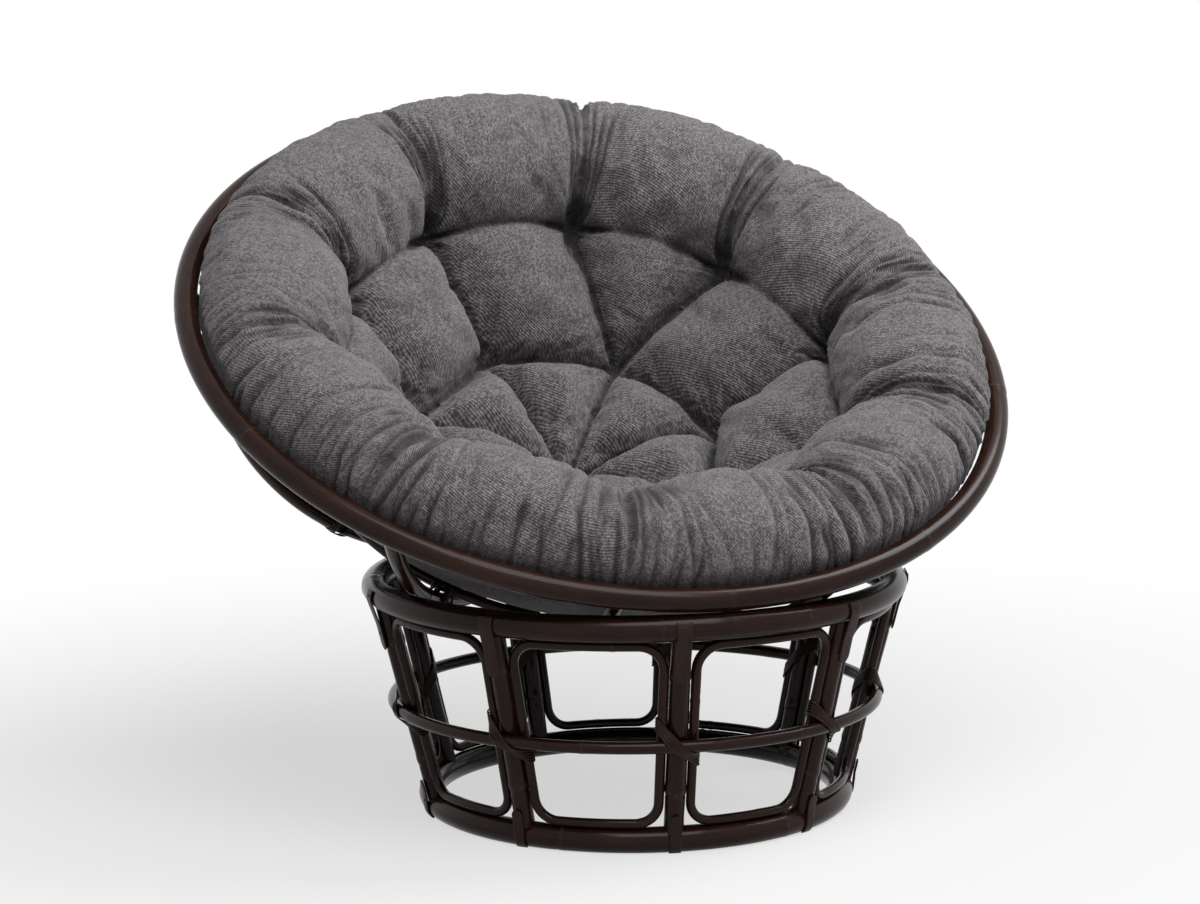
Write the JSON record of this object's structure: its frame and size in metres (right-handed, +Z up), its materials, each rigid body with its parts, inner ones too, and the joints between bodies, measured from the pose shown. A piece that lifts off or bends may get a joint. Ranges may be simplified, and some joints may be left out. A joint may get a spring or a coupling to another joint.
{
  "type": "papasan chair",
  "caption": "Round rattan bowl seat with a thick tufted cushion, resting on and tilting in a low ring stand of posts and cane loops.",
  "frame": {"origin": "on the floor, under the middle of the whole chair's bounding box", "axes": "+Z up, the bowl opens and leans towards -Y, +X to the right seen from the front"},
  "size_m": [1.107, 0.9578, 0.902],
  "materials": {
    "rattan": "satin",
    "peel_binding": "satin",
    "cushion_fabric": "matte"
  },
  "bodies": {
    "stand": {"stand_top_ring": "rattan", "stand_foot_ring": "rattan", "stand_mid_hoop": "rattan", "stand_post_1": "rattan", "stand_post_2": "rattan", "stand_post_3": "rattan", "stand_post_4": "rattan", "stand_post_5": "rattan", "stand_post_6": "rattan", "stand_post_7": "rattan", "stand_post_8": "rattan", "stand_post_9": "rattan", "panel_loop_1": "rattan", "panel_loop_2": "rattan", "panel_loop_3": "rattan", "panel_loop_4": "rattan", "panel_loop_5": "rattan", "panel_loop_6": "rattan", "panel_loop_7": "rattan", "panel_loop_8": "rattan", "panel_loop_9": "rattan", "mid_lashing_1": "peel_binding", "mid_lashing_2": "peel_binding", "mid_lashing_3": "peel_binding", "mid_lashing_4": "peel_binding", "mid_lashing_5": "peel_binding", "mid_lashing_6": "peel_binding", "mid_lashing_7": "peel_binding", "mid_lashing_8": "peel_binding", "mid_lashing_9": "peel_binding", "top_strap_1": "peel_binding", "top_strap_2": "peel_binding", "top_strap_3": "peel_binding", "top_strap_4": "peel_binding", "top_strap_5": "peel_binding", "top_strap_6": "peel_binding", "top_strap_7": "peel_binding", "top_strap_8": "peel_binding", "top_strap_9": "peel_binding"},
    "bowl": {"bowl_rim": "rattan", "bowl_upper_hoop": "rattan", "bowl_middle_hoop": "rattan", "bowl_base_hoop": "rattan", "bowl_rib_1": "rattan", "bowl_rib_2": "rattan", "bowl_rib_3": "rattan", "bowl_rib_4": "rattan", "bowl_rib_5": "rattan", "bowl_rib_6": "rattan", "bowl_rib_7": "rattan", "bowl_rib_8": "rattan", "bowl_rib_9": "rattan", "bowl_rib_10": "rattan", "bowl_rib_11": "rattan", "bowl_rib_12": "rattan"},
    "cushion": {"seat_cushion": "cushion_fabric"}
  },
  "joints": [
    {"name": "bowl_tilt", "type": "hinge", "parent": "stand", "child": "bowl", "pos_m": [0, -0.12785, 0.81365], "axis": [-1, 0, 0], "range_deg": [0, 61.7]},
    {"name": "cushion_lift", "type": "slide", "parent": "bowl", "child": "cushion", "axis": [0, -0.5135, 0.8581], "range_m": [0, 0.45]}
  ]
}
